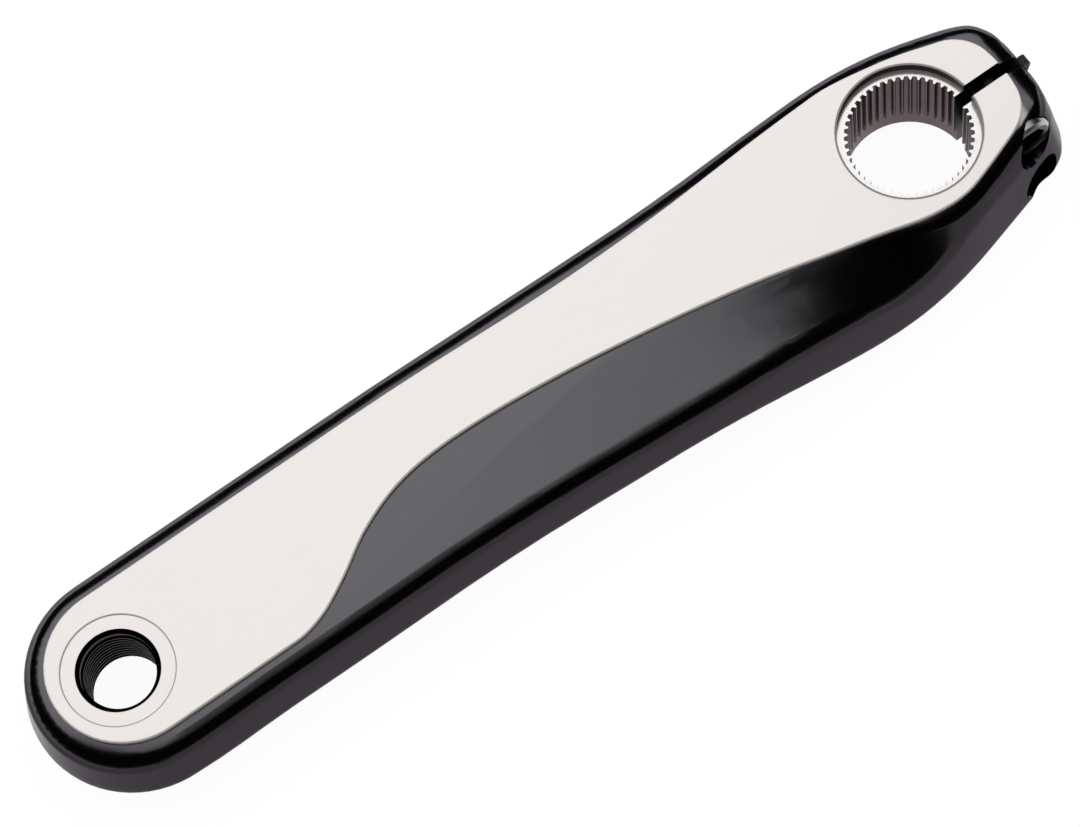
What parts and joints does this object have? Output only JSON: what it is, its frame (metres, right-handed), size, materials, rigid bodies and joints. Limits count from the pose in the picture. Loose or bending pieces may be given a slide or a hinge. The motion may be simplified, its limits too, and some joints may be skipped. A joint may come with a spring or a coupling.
{
  "type": "bicycle crank arm",
  "caption": "Left bicycle crank arm: split splined spindle clamp with pinch bolts and stopper plate at one end, threaded pedal eye at the other, raised bright face over a black body.",
  "frame": {"origin": "on the spindle axis, at the inner seat face of the clamp", "axes": "+X from the spindle axis to the pedal axis, +Z outboard along the spindle, +Y towards the flank with the scoop and the bolt heads"},
  "size_m": [0.2152, 0.0454, 0.022],
  "materials": {
    "arm_aluminium": "gloss black body with a polished silver raised face",
    "bolt_steel": "dark plated steel",
    "stopper_plastic": "black moulded plastic"
  },
  "bodies": {
    "arm": {"crank_arm": "arm_aluminium", "pinch_bolt_outer": "bolt_steel", "pinch_bolt_inner": "bolt_steel"},
    "stopper": {"stopper_plate": "stopper_plastic"}
  },
  "joints": [
    {"name": "stopper_swing", "type": "hinge", "parent": "arm", "child": "stopper", "pos_m": [-0.018, 0, 0.006], "axis": [0, 1, 0], "range_deg": [0, 13]}
  ]
}
